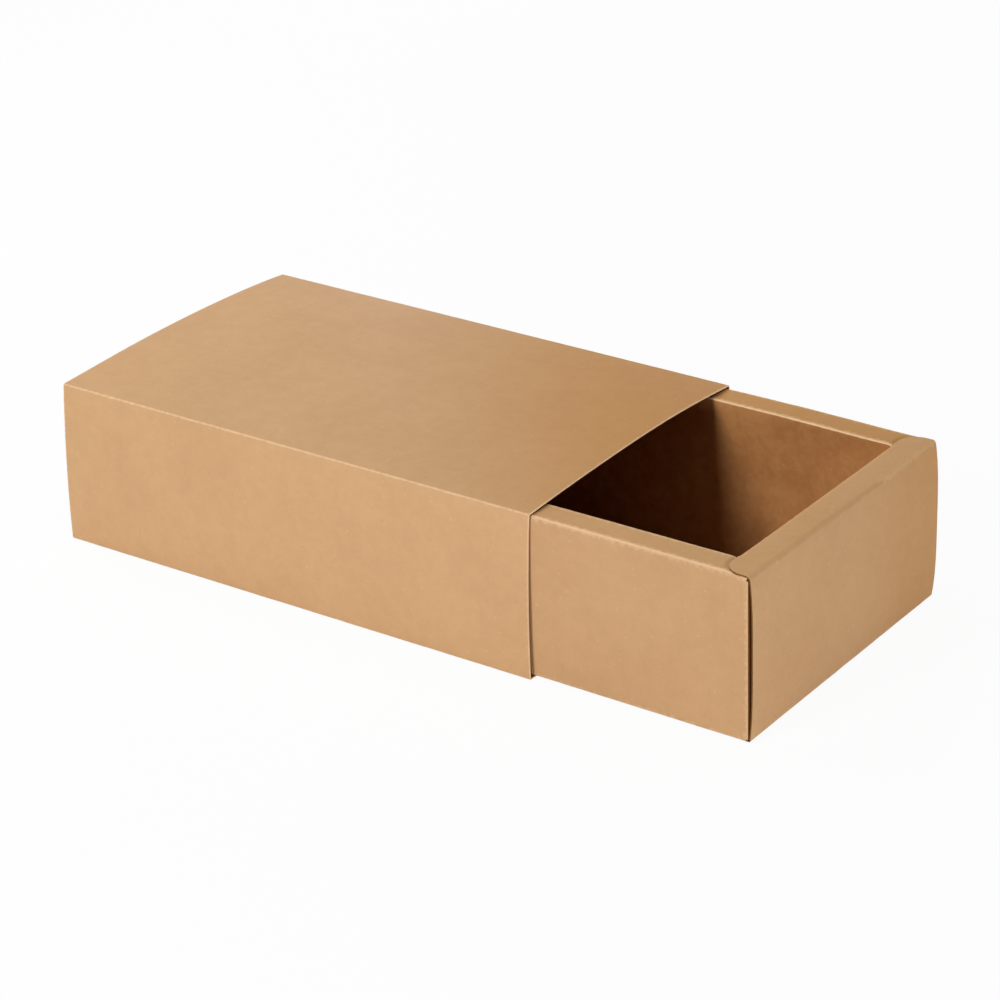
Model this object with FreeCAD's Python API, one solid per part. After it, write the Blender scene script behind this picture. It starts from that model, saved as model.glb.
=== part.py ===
import FreeCAD
import Part
import math
import os

# Sliding drawer gift box of kraft card: an open-ended sleeve and a tray that slides out of it.
#
# Frame: the origin is the centre of the sleeve's resting face. +X is the way the tray is pulled
# out, +Y points to the right-hand side as seen by someone facing the tray's front, +Z is up.
#
# Both halves are creased sheets. Each panel between two creases is a solid of its own, and two
# neighbours meet face to face on the diagonal of the crease that joins them, so that each panel
# holds half of the rounded fold.

# --- sleeve ---
sleeve_length = 200.0  # open tube, along X
sleeve_width = 120.0  # over the side creases, along Y
sleeve_height = 60.0  # over the bottom and top creases, along Z
sleeve_card = 0.5  # thickness of the sleeve's sheet
top_bow = 2.4  # how far the top panel arches up between its creases
side_bow = 1.0  # how far each side panel bulges out between its creases
glue_flap_reach = 15.0  # width of the flap glued inside the right panel
glue_film = 0.1  # thickness of the dried glue
glue_margin = 1.5  # bare strip of flap beyond the glue on either side
glue_end_margin = 3.0  # bare strip at either open end of the sleeve

# --- tray ---
tray_card = 0.5  # thickness of the tray's sheet
side_clearance = 0.9  # from the tray's side to the sleeve's side panel at its creases
floor_clearance = 0.3  # from the sleeve's bottom panel to the tray's floor
head_clearance = 0.8  # from the tray's highest rim to the top panel at its creases
end_setback = 0.25  # each end of the closed tray stands this far inside the sleeve's end
pull_out = 81.0  # how far the tray's front stands out of the sleeve at rest
rim_width = 10.5  # width of the hollow double wall, seen from above
end_bow = 1.5  # how far the front and back walls bulge out between their creases
end_wall_inset = 0.2  # the end panels are this much shorter than the tray is wide, at each side
rim_corner_radius = 7.0  # rounded free corners of the front and back rims
lining_clearance = 0.3  # between a lining's upright edges and the card they face
foot_clearance = 0.3  # between a side lining's foot and the fold of the side wall
corner_flap_reach = 30.0  # how far a corner flap reaches in behind the end wall
corner_flap_gap = 0.1  # between a corner flap and the end wall in front of it
corner_flap_play = 0.2  # between a corner flap's edges and the folds above and below it
lock_tab_length = 24.0  # two tabs on the lower edge of each end lining
lock_tab_pitch = 50.0  # between the middles of the two tabs
slot_clearance = 0.1  # round the thickness of a lock tab, each way
slot_end_clearance = 0.5  # past each end of a lock tab

# --- creases ---
crease_inner_radius = 0.5  # inside of every fold

# --- sizes that follow ---
sleeve_fold = crease_inner_radius + sleeve_card  # outside radius of the sleeve's folds
tray_fold = crease_inner_radius + tray_card  # outside radius of the tray's folds
half_sleeve = sleeve_length / 2
half_width = sleeve_width / 2
tray_length = sleeve_length - 2 * end_setback
tray_width = sleeve_width - 2 * (sleeve_card + side_clearance)
tray_underside = sleeve_card + floor_clearance
floor_top = tray_underside + tray_card
end_rim_top = sleeve_height - sleeve_card - head_clearance
side_rim_top = end_rim_top - tray_card  # the end rims are folded over the side rims
tray_middle = half_sleeve + pull_out - tray_length / 2
end_panel_width = tray_width - 2 * end_wall_inset
end_lining_width = tray_width - 2 * (rim_width + lining_clearance)
corner_flap_face = tray_length / 2 - tray_card - corner_flap_gap

Vector = FreeCAD.Vector
origin = Vector(0, 0, 0)
up = Vector(0, 0, 1)
mirror_left_right = Vector(0, 1, 0)
mirror_front_back = Vector(1, 0, 0)

# A section is drawn in the YZ plane, as seen from +X, and extruded along X. The turns below set
# such an extrusion along Y, or upright along Z.
turned_to_front = FreeCAD.Placement(origin, FreeCAD.Rotation(up, 90))
stood_upright = FreeCAD.Placement(origin, FreeCAD.Rotation(Vector(1, 1, 1), -120))


def unit(vector):
    return vector * (1 / vector.Length)


def in_section(across, height):
    """A point of the section plane."""
    return Vector(0, across, height)


def squared(vector):
    """The axis direction nearest to a vector of the section plane."""
    heading = unit(vector)
    return in_section(round(heading.y), round(heading.z))


def left_of(direction):
    """The outside of a panel: it lies to the left of the way the panel is drawn."""
    return Vector(0, -direction.z, direction.y)


def arc(centre, radius, first, last):
    """The short arc about centre, from the direction first to the direction last."""
    points = [centre + heading * radius for heading in (first, unit(first + last), last)]
    return Part.Arc(*points).toShape()


def line(first, last):
    return Part.LineSegment(first, last).toShape()


def bow_centre(a, b, bow):
    """Centre of the arc of a panel that bulges out by bow between the fold centres a and b.

    The arc touches the two folds, so the panel runs into them without a kink.
    """
    half_span = (b - a).Length / 2
    to_fold = (half_span * half_span / bow + bow) / 2
    return (a + b) * 0.5 - left_of(unit(b - a)) * (to_fold - bow)


def panel_section(a, b, card, fold, centre=None, folded_at_a=True, folded_at_b=True):
    """Section of the panel drawn from a to b, fold being the outside radius of its folds.

    A folded end is the centre of that fold, and takes half of it. An end that isn't folded is
    a cut edge. A centre bends the panel to an arc, and with none it is flat.
    """
    along = squared(b - a)
    out = left_of(along)
    out_a = unit(a - centre) if centre else out
    out_b = unit(b - centre) if centre else out
    cut_a = unit(out - along) if folded_at_a else out_a
    cut_b = unit(out + along) if folded_at_b else out_b
    edges = []
    for radius in (fold, fold - card):
        if folded_at_a:
            edges.append(arc(a, radius, cut_a, out_a))
        if folded_at_b:
            edges.append(arc(b, radius, out_b, cut_b))
        if centre:
            edges.append(arc(centre, (a - centre).Length + radius, out_a, out_b))
        else:
            edges.append(line(a + out * radius, b + out * radius))
    edges.append(line(a + cut_a * fold, a + cut_a * (fold - card)))
    edges.append(line(b + cut_b * fold, b + cut_b * (fold - card)))
    return Part.Face(Part.Wire(Part.__sortEdges__(edges)))


def extruded(section, start, end):
    solid = section.extrude(Vector(end - start, 0, 0))
    solid.translate(Vector(start, 0, 0))
    return solid


def centred(section, length):
    return extruded(section, -length / 2, length / 2)


def block(low, high):
    size = high - low
    return Part.makeBox(size.x, size.y, size.z, low)


def placed(solid, placement):
    turned = solid.copy()
    turned.Placement = placement.multiply(turned.Placement)
    return turned


def mirrored(solid, normal):
    return solid.mirror(origin, normal)


# --- the sleeve's panels ---


def arc_height_point(centre, to_fold, height):
    """The point at this height on the right-hand side of a circle in the section plane."""
    rise = height - centre.z
    return in_section(centre.y + math.sqrt(to_fold * to_fold - rise * rise), height)


def sleeve_panels():
    """The four panels, the glue flap and the glue film between flap and right panel."""
    near = sleeve_fold
    far = sleeve_height - sleeve_fold
    side = half_width - sleeve_fold
    bottom_left = in_section(-side, near)
    top_left = in_section(-side, far)
    top_right = in_section(side, far)
    right_edge = in_section(side, near)
    left_centre = bow_centre(bottom_left, top_left, side_bow)
    top_centre = bow_centre(top_left, top_right, top_bow)
    right_centre = bow_centre(top_right, right_edge, side_bow)
    right_inside = (right_edge - right_centre).Length + sleeve_fold - sleeve_card
    flap_to_fold = right_inside - glue_film - sleeve_fold
    bottom_right = arc_height_point(right_centre, flap_to_fold, near)
    flap_edge = arc_height_point(right_centre, flap_to_fold, near + glue_flap_reach)

    card = (sleeve_card, sleeve_fold)
    left = panel_section(bottom_left, top_left, *card, centre=left_centre)
    top = panel_section(top_left, top_right, *card, centre=top_centre)
    right = panel_section(top_right, right_edge, *card, centre=right_centre, folded_at_b=False)
    bottom = panel_section(bottom_right, bottom_left, *card)
    flap = panel_section(flap_edge, bottom_right, *card, centre=right_centre, folded_at_a=False)
    return {
        "sleeve_left_panel": centred(left, sleeve_length),
        "sleeve_top_panel": centred(top, sleeve_length),
        "sleeve_right_panel": centred(right, sleeve_length),
        "sleeve_bottom_panel": centred(bottom, sleeve_length),
        "sleeve_glue_flap": centred(flap, sleeve_length),
        "sleeve_glue_film": glue_between(right_centre, right_inside),
    }


def glue_between(centre, right_inside):
    """The dried film that fills the space between the right panel and the glue flap."""
    flap_outside = right_inside - glue_film
    low = sleeve_fold + glue_margin
    high = sleeve_fold + glue_flap_reach - glue_margin
    film_top = arc_height_point(centre, flap_outside, high)
    film_bottom = arc_height_point(centre, flap_outside, low)
    film = panel_section(
        film_top, film_bottom, glue_film, glue_film,
        centre=centre, folded_at_a=False, folded_at_b=False,
    )
    return centred(film, sleeve_length - 2 * glue_end_margin)


# --- the tray's floor ---


def floor_section(half_span):
    """The floor between the folds at the feet of two opposite walls."""
    height = tray_underside + tray_fold
    inner = half_span - tray_fold
    return panel_section(
        in_section(inner, height), in_section(-inner, height), tray_card, tray_fold
    )


def tray_floor():
    """The floor with half a fold along each of its four edges, and slots for the lock tabs."""
    lengthwise = centred(floor_section(tray_width / 2), tray_length - 2 * tray_fold)
    crosswise = centred(floor_section(tray_length / 2), tray_width - 2 * tray_fold)
    floor = lengthwise.fuse(placed(crosswise, turned_to_front)).removeSplitter()
    slots = [placed(slot, turned_to_front) for slot in lock_blocks(slot_clearance, slot_end_clearance)]
    slots += [mirrored(slot, mirror_front_back) for slot in slots]
    return floor.cut(Part.makeCompound(slots))


def lock_blocks(around, past_ends):
    """The two lock tabs of an end lining, or with clearances the slots that hold them."""
    face = rim_width - tray_length / 2
    blocks = []
    for middle in (-lock_tab_pitch / 2, lock_tab_pitch / 2):
        half = lock_tab_length / 2 + past_ends
        low = Vector(middle - half, face - tray_card - around, tray_underside)
        high = Vector(middle + half, face + around, floor_top)
        blocks.append(block(low, high))
    return blocks


# --- the tray's hollow walls, drawn as the wall on the left and turned to their own side ---


def wall_folds(half_span, top):
    """Fold centres of a hollow wall: foot of the outer wall, outer top, inner top, lining foot."""
    outer = tray_fold - half_span
    inner = rim_width - tray_fold - half_span
    crown = top - tray_fold
    return (
        in_section(outer, tray_underside + tray_fold),
        in_section(outer, crown),
        in_section(inner, crown),
        in_section(inner, floor_top + tray_fold),
    )


def side_wall():
    """The outer wall, with half a fold at the floor, at the rim and at both corner flaps."""
    foot, crest, _, _ = wall_folds(tray_width / 2, side_rim_top)
    half_run = corner_flap_face - tray_fold
    between = centred(panel_section(foot, crest, tray_card, tray_fold), 2 * half_run)
    front_fold = in_section(half_run, foot.y)
    back_fold = in_section(-half_run, foot.y)
    upright = extruded(panel_section(front_fold, back_fold, tray_card, tray_fold), foot.z, crest.z)
    return between.fuse(placed(upright, stood_upright)).removeSplitter()


def side_rim():
    """The flat top of the side, its ends tucked under the end rims."""
    _, crest, inner_crest, _ = wall_folds(tray_width / 2, side_rim_top)
    return centred(
        panel_section(crest, inner_crest, tray_card, tray_fold), tray_length - 2 * tray_fold
    )


def side_lining():
    """The inner face of the side, which runs on behind the end linings to the corner flaps."""
    _, _, inner_crest, foot = wall_folds(tray_width / 2, side_rim_top)
    run = 2 * (corner_flap_face - tray_card - lining_clearance)
    return centred(panel_section(inner_crest, foot, tray_card, tray_fold), run)


def side_foot():
    """The strip folded out under the lining, which holds the hollow wall open at the floor."""
    outer_foot, _, _, foot = wall_folds(tray_width / 2, side_rim_top)
    edge = in_section(outer_foot.y + foot_clearance, foot.z)
    run = 2 * (corner_flap_face - tray_card - lining_clearance)
    return centred(panel_section(foot, edge, tray_card, tray_fold, folded_at_b=False), run)


def corner_flap():
    """The flap at the front end of the left side, folded in behind the front wall."""
    foot, crest, _, _ = wall_folds(tray_width / 2, side_rim_top)
    fold = in_section(corner_flap_face - tray_fold, foot.y)
    edge = in_section(fold.y, foot.y - tray_fold + corner_flap_reach)
    section = panel_section(edge, fold, tray_card, tray_fold, folded_at_a=False)
    upright = extruded(section, foot.z + corner_flap_play, crest.z - corner_flap_play)
    return placed(upright, stood_upright)


def end_wall():
    """The bowed outer wall of an end."""
    foot, crest, _, _ = wall_folds(tray_length / 2, end_rim_top)
    section = panel_section(foot, crest, tray_card, tray_fold, centre=bow_centre(foot, crest, end_bow))
    return centred(section, end_panel_width)


def rim_ear(section, start, end, corner):
    """One end of an end rim, where it lies over a side rim. Its free corner is rounded."""
    ear = extruded(section, start, end)
    radius = min(rim_corner_radius, rim_width - tray_fold)
    upright_edges = [
        edge for edge in ear.Edges
        if all(abs(v.X - corner.x) + abs(v.Y - corner.y) < tray_card / 2 for v in edge.Vertexes)
    ]
    return ear.makeFillet(radius, upright_edges)


def end_rim():
    """The flat top of an end: folded down into the lining between two ears that lie on the sides."""
    _, crest, inner_crest, _ = wall_folds(tray_length / 2, end_rim_top)
    half_lining = end_lining_width / 2
    half_panel = end_panel_width / 2
    free_edge = in_section(inner_crest.y + tray_fold, inner_crest.z)
    ear_section = panel_section(crest, free_edge, tray_card, tray_fold, folded_at_b=False)
    rim = centred(panel_section(crest, inner_crest, tray_card, tray_fold), end_lining_width)
    for start, end, tip in (
        (-half_panel, -half_lining, -half_panel),
        (half_lining, half_panel, half_panel),
    ):
        rim = rim.fuse(rim_ear(ear_section, start, end, Vector(tip, free_edge.y, 0)))
    return rim.removeSplitter()


def end_lining():
    """The inner face of an end, held down by its lock tabs in the floor's slots."""
    _, _, inner_crest, _ = wall_folds(tray_length / 2, end_rim_top)
    lower_edge = in_section(inner_crest.y, floor_top)
    section = panel_section(inner_crest, lower_edge, tray_card, tray_fold, folded_at_b=False)
    lining = centred(section, end_lining_width)
    for tab in lock_blocks(0, 0):
        lining = lining.fuse(tab)
    return lining.removeSplitter()


def tray_panels():
    """All the tray's panels, about the tray's own middle."""
    panels = {"tray_floor": tray_floor()}
    sides = {
        "wall": side_wall(),
        "rim": side_rim(),
        "lining": side_lining(),
        "foot": side_foot(),
    }
    for name, solid in sides.items():
        panels["tray_left_" + name] = solid
        panels["tray_right_" + name] = mirrored(solid, mirror_left_right)
    ends = {"wall": end_wall(), "rim": end_rim(), "lining": end_lining()}
    for name, solid in ends.items():
        front = placed(solid, turned_to_front)
        panels["tray_front_" + name] = front
        panels["tray_back_" + name] = mirrored(front, mirror_front_back)
    flap = corner_flap()
    panels["tray_front_left_flap"] = flap
    panels["tray_back_left_flap"] = mirrored(flap, mirror_front_back)
    panels["tray_front_right_flap"] = mirrored(flap, mirror_left_right)
    panels["tray_back_right_flap"] = mirrored(
        panels["tray_front_right_flap"], mirror_front_back
    )
    return panels


def pulled_out(solid):
    moved = solid.copy()
    moved.translate(Vector(tray_middle, 0, 0))
    return moved


nodes = sleeve_panels()
for name, solid in tray_panels().items():
    nodes[name] = pulled_out(solid)

os.makedirs("parts", exist_ok=True)
for name, solid in nodes.items():
    solid.exportStep(os.path.join("parts", name + ".step"))
    box = solid.BoundBox
    print(
        f"{name:24s} {len(solid.Solids)} solid {solid.Volume:9.1f} mm3 valid {solid.isValid()}"
        f"  x {box.XMin:8.2f} {box.XMax:8.2f}  y {box.YMin:7.2f} {box.YMax:7.2f}"
        f"  z {box.ZMin:6.2f} {box.ZMax:6.2f}"
    )
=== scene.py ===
# %% [markdown]
# # A sliding drawer gift box of kraft card
#
# The box is two sheets of brown kraft card. One is creased and glued to a flat tube, the sleeve, which is
# open at both ends. The other is creased and folded to a tray with hollow double walls, which slides in it.
#
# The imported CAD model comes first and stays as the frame: every piece below takes its place and its size
# from a node of that model, and hides the plain node that it stands for.

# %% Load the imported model
import math

import bpy
import numpy as np
from mathutils import Matrix, Vector, noise


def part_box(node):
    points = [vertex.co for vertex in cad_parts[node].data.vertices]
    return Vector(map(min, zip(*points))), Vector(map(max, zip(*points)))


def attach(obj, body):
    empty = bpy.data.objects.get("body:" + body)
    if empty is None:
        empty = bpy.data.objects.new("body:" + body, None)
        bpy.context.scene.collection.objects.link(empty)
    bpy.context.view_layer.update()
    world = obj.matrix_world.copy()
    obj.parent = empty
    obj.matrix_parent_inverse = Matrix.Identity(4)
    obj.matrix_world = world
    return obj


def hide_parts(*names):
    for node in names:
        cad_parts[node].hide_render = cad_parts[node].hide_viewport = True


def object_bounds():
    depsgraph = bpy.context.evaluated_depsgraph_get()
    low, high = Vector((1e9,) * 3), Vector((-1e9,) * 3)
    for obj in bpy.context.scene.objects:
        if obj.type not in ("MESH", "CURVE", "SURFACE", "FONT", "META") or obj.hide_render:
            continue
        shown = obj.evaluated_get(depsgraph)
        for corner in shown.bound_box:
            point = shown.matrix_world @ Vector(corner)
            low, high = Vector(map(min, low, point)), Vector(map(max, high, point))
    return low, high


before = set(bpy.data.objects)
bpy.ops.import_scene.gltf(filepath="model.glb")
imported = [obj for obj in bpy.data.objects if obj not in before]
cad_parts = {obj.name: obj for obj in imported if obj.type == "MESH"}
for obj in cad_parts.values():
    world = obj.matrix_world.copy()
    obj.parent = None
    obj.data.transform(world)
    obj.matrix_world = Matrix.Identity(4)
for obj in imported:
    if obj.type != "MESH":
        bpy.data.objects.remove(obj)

cad_low, cad_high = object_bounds()
mm = 0.001
print("CAD box in mm:", [round(value / mm, 2) for value in (*cad_low, *cad_high)])

# %% [markdown]
# ## The camera
#
# A camera needs a place, a direction and a lens. A long lens far away keeps the box's long edges almost
# parallel. The direction is given as two angles and a small roll, because those are easy to read: the
# azimuth turns round the box from its long left side, and the elevation looks down on it.

# %% Camera
camera_place = Vector((618.86, -772.19, 487.44)) * mm
camera_azimuth = math.radians(36.65)
camera_elevation = math.radians(25.59)
camera_roll = math.radians(-2.19)
camera_lens = 111.45

towards_viewer = Vector((
    math.sin(camera_azimuth) * math.cos(camera_elevation),
    -math.cos(camera_azimuth) * math.cos(camera_elevation),
    math.sin(camera_elevation),
))
level_right = Vector((math.cos(camera_azimuth), math.sin(camera_azimuth), 0))
level_up = towards_viewer.cross(level_right)
turned_right = level_right * math.cos(camera_roll) + level_up * math.sin(camera_roll)
turned_up = level_up * math.cos(camera_roll) - level_right * math.sin(camera_roll)

camera_data = bpy.data.cameras.new("viewer")
camera_data.sensor_width = 36
camera_data.lens = camera_lens
camera_data.clip_start = 0.01
camera_data.clip_end = 20
camera = bpy.data.objects.new("viewer", camera_data)
camera.matrix_world = Matrix.Translation(camera_place) @ Matrix(
    (turned_right, turned_up, towards_viewer)
).transposed().to_4x4()
bpy.context.scene.collection.objects.link(camera)
bpy.context.scene.camera = camera
print("camera stands", round(camera_place.length, 3), "m from the middle of the sleeve's foot")

# %% [markdown]
# ## Sizes
#
# A creased sheet has few sizes of its own: the thickness of the card, and the outside radius of a fold.
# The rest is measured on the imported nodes. Two panels meet on the diagonal of their crease, so the box of
# a panel stops short of the sharp corner that its two planes would make. `short_of_corner` is that
# distance, and adding it back gives the planes themselves.

# %% Planes of the sleeve and the tray
card = 0.5 * mm
fold = 1.0 * mm
short_of_corner = fold * (1 - math.sqrt(0.5))


def low(node):
    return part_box(node)[0]


def high(node):
    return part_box(node)[1]


sleeve_end = high("sleeve_top_panel").x
sleeve_side = -low("sleeve_bottom_panel").y + short_of_corner
sleeve_top = high("sleeve_left_panel").z + short_of_corner
sleeve_top_bow = high("sleeve_top_panel").z - sleeve_top
sleeve_side_bow = -low("sleeve_left_panel").y - sleeve_side
right_panel_foot = low("sleeve_right_panel").z
flap_side = high("sleeve_bottom_panel").y + short_of_corner
flap_top = high("sleeve_glue_flap").z

tray_side = -low("tray_left_wall").y
tray_underside = low("tray_floor").z
tray_floor_top = tray_underside + card
side_rim_top = high("tray_left_rim").z
end_rim_top = high("tray_front_rim").z
tray_front = high("tray_front_rim").x + short_of_corner
tray_back = low("tray_back_rim").x - short_of_corner
tray_middle = (tray_front + tray_back) / 2
tray_half_length = tray_front - tray_middle
rim_width = tray_front - low("tray_front_rim").x
end_bow = high("tray_front_wall").x - tray_front
end_half_width = high("tray_front_wall").y
end_lining_half_width = high("tray_front_lining").y
corner_crease = high("tray_left_wall").x + short_of_corner - tray_middle
side_rim_half_run = high("tray_left_rim").x - tray_middle
side_lining_half_run = high("tray_left_lining").x - tray_middle
print("sleeve, mm:", [round(v / mm, 2) for v in (2 * sleeve_end, 2 * sleeve_side, sleeve_top)])
print("tray, mm:", [round(v / mm, 2) for v in (2 * tray_half_length, 2 * tray_side, end_rim_top)])

# %% [markdown]
# ## How a panel of card is built
#
# A panel is a thin sheet with an outside and an inside. At a crease it curls through half of the rounded
# fold and stops on the diagonal, where the next panel takes over, and at a free edge it is simply cut.
#
# A modifier could give a flat grid its thickness, but the diagonal ends and the tight inside radius would
# come out uneven. Here each row of vertices is worked out one by one instead: a `Span` says where the rows
# lie in one direction of the panel, how deep a row sits below the panel's outside plane, and which way the
# card leans there. Two spans, one each way, make a panel.

# %% Rows across a panel
fold_rows = 6
row_spacing = 3 * mm
quarter_turn = math.pi / 4


class Span:
    """One direction across a panel. A crease at either end is given as its radius along the run."""

    def __init__(self, start, end, start_crease=None, end_crease=None, breaks=()):
        self.start, self.end = start, end
        self.start_crease, self.end_crease = start_crease, end_crease
        self.breaks = list(breaks)
        stops = self.stops(fold if start_crease else 0, fold if end_crease else 0)
        self.steps = [("start", 0, i / fold_rows) for i in range(fold_rows)] if start_crease else []
        for number, (stop, following) in enumerate(zip(stops, stops[1:])):
            count = max(1, round((following - stop) / row_spacing))
            self.steps += [("flat", number, i / count) for i in range(1 if number else 0, count + 1)]
        self.steps += [("end", 0, (i + 1) / fold_rows) for i in range(fold_rows)] if end_crease else []

    def stops(self, at_start, at_end):
        """The flat stretch's ends, and the places in it where a row has to lie."""
        return [self.start + at_start, *self.breaks, self.end - at_end]

    def row(self, step, run):
        """Place, depth, lean and distance along the card of a row, at this place of the other span."""
        zone, number, share = step
        at_start = self.start_crease(run) if self.start_crease else 0
        at_end = self.end_crease(run) if self.end_crease else 0
        stops = self.stops(at_start, at_end)
        if zone == "start":
            angle = (1 - share) * quarter_turn
            place = self.start + at_start * (1 - math.sin(angle))
            along = at_start * (quarter_turn - angle)
            return place, at_start * (1 - math.cos(angle)), -math.sin(angle), along
        if zone == "end":
            angle = share * quarter_turn
            place = self.end - at_end * (1 - math.sin(angle))
            along = at_start * quarter_turn + stops[-1] - stops[0] + at_end * angle
            return place, at_end * (1 - math.cos(angle)), math.sin(angle), along
        place = stops[number] + (stops[number + 1] - stops[number]) * share
        return place, 0.0, 0.0, at_start * quarter_turn + place - stops[0]

    def fold_radius(self, step, run):
        """The radius of the fold that this row lies in the middle of, or None for any other row."""
        if step == ("start", 0, 0.0):
            return self.start_crease(run)
        if step == ("end", 0, 1.0):
            return self.end_crease(run)
        return None

    def developed(self):
        """The span's length on the flat card."""
        creases = bool(self.start_crease) + bool(self.end_crease)
        return self.end - self.start - creases * fold * (1 - quarter_turn)


print("rows of a plain strip 12 mm wide:", len(Span(0, 12 * mm).steps))

# %% [markdown]
# ## A crease is never perfectly even
#
# The scoring wheel presses a line into the card, and the fibres along it stretch more in one place than
# in the next. So the radius of each fold wanders a little. Both panels that share the fold call the same
# function, and therefore still meet exactly.

# %% Creases
crease_wander = 0.16 * mm
crease_wave = 7 * mm
usual_wander = 0.35
crease_seed_step = 7.3


def crease(seed, radius=fold):
    """Outside radius of one fold, as a function of the place along it. Radius may be a function too."""
    nominal = radius if callable(radius) else lambda run: radius

    def radius_at(run):
        wave = noise.noise(Vector((run / crease_wave, seed * crease_seed_step, 0.5)))
        return nominal(run) + crease_wander * max(0.0, usual_wander + wave)

    return radius_at


radii = [crease(1)(place * mm) for place in range(0, 200, 2)]
print("a fold's radius wanders from", round(min(radii) / mm, 3), "to", round(max(radii) / mm, 3), "mm")

# %% [markdown]
# ## From rows to a closed piece of card
#
# `CardPiece` collects the outside quads of one piece. Corners that fall on the same place are shared, so
# a piece may be made of several patches, as a rim is with its two ears. Edges that only one quad uses
# are the border of the sheet, and there the outside is joined to the inside, which closes the piece.
#
# Three facts go with every vertex for the materials: where it lies on the flat sheet, so that fibres
# run on over the creases, and how far it is from the nearest crease and from the nearest cut edge. A fold
# rounder than `soft_fold` stretches the card too little to wear it, and is left out of that.

# %% Helpers of the card builder
far_away = 99.0
no_length = 1e-18


def halfway_places(span):
    """For each strip between two rows of a span, its middle place and whether it is part of a fold."""
    places = [span.row(step, 0)[0] for step in span.steps]
    folds = [step[0] != "flat" for step in span.steps]
    return [((places[i] + places[i + 1]) / 2, folds[i] or folds[i + 1]) for i in range(len(places) - 1)]


def distances(sheet, edges):
    """For every corner, the distance on the flat sheet to the nearest of these edges, in mm."""
    if not edges:
        return np.full(len(sheet), far_away)
    points = np.array(sheet)[:, None, :]
    starts = np.array([sheet[a] for a, _ in edges])[None]
    steps = np.array([sheet[b] for _, b in edges])[None] - starts
    length = np.maximum((steps ** 2).sum(2), no_length)
    share = np.clip(((points - starts) * steps).sum(2) / length, 0, 1)
    gaps = np.sqrt(((points - starts - steps * share[..., None]) ** 2).sum(2))
    return gaps.min(1) / mm


def mark_sharp_edges(mesh, border):
    """Marks the edges round the sheet and the short ones across its thickness as sharp."""
    count = len(mesh.vertices) // 2
    sharp = mesh.attributes.new("sharp_edge", "BOOLEAN", "EDGE")
    for edge in mesh.edges:
        a, b = edge.vertices
        sharp.data[edge.index].value = frozenset((a, b)) in border or abs(a - b) == count


def outside_is_inverted(mesh):
    """True if the closed mesh has a negative volume, as one that was mirrored has."""
    volume = 0.0
    for face in mesh.polygons:
        corners = [mesh.vertices[v].co for v in face.vertices]
        for b, c in zip(corners[1:], corners[2:]):
            volume += corners[0].dot(b.cross(c))
    return volume < 0


unit_square, unit_side = [(0, 0), (mm, 0), (mm, mm), (0, mm)], [(0, 1)]
print("mm from one side of a square:", distances(unit_square, unit_side))


# %% The card builder
same_place = 1e-7
soft_fold = 1.3 * mm
face_material, cut_material = 0, 1


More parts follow.
